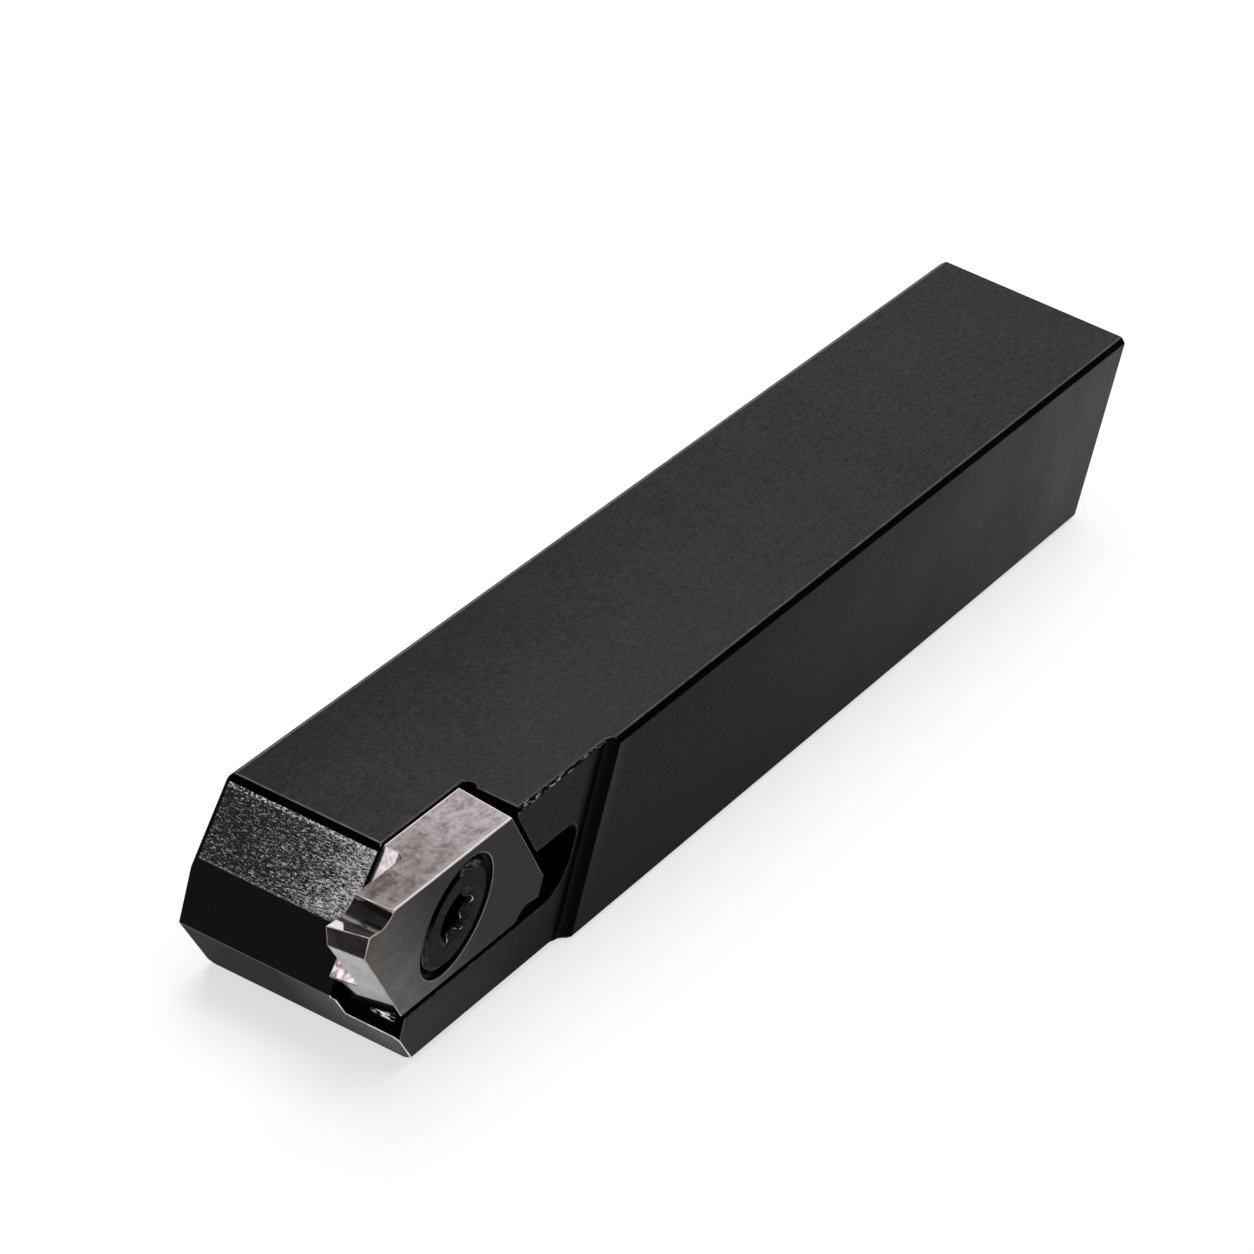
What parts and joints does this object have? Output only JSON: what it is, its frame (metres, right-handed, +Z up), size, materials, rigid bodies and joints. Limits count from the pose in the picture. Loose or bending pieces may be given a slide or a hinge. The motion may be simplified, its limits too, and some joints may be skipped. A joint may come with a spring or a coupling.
{
  "type": "grooving tool holder",
  "caption": "Square-shank lathe tool holder with a bevelled head and a two-edged grooving insert clamped in a side pocket by a countersunk screw.",
  "frame": {"origin": "middle of the shank's underside, half way along its length", "axes": "+X along the shank away from the cutting edge, +Y away from the side the insert sits on, +Z up"},
  "size_m": [0.1169, 0.016, 0.016],
  "materials": {
    "black_oxide_steel": "black oxide over fine ground and milled faces",
    "ground_carbide": "ground carbide, faintly pinkish grey",
    "black_screw_steel": "black oxide, satin"
  },
  "bodies": {
    "root": {"tool_holder": "black_oxide_steel", "grooving_insert": "ground_carbide", "insert_screw": "black_screw_steel"}
  },
  "joints": []
}
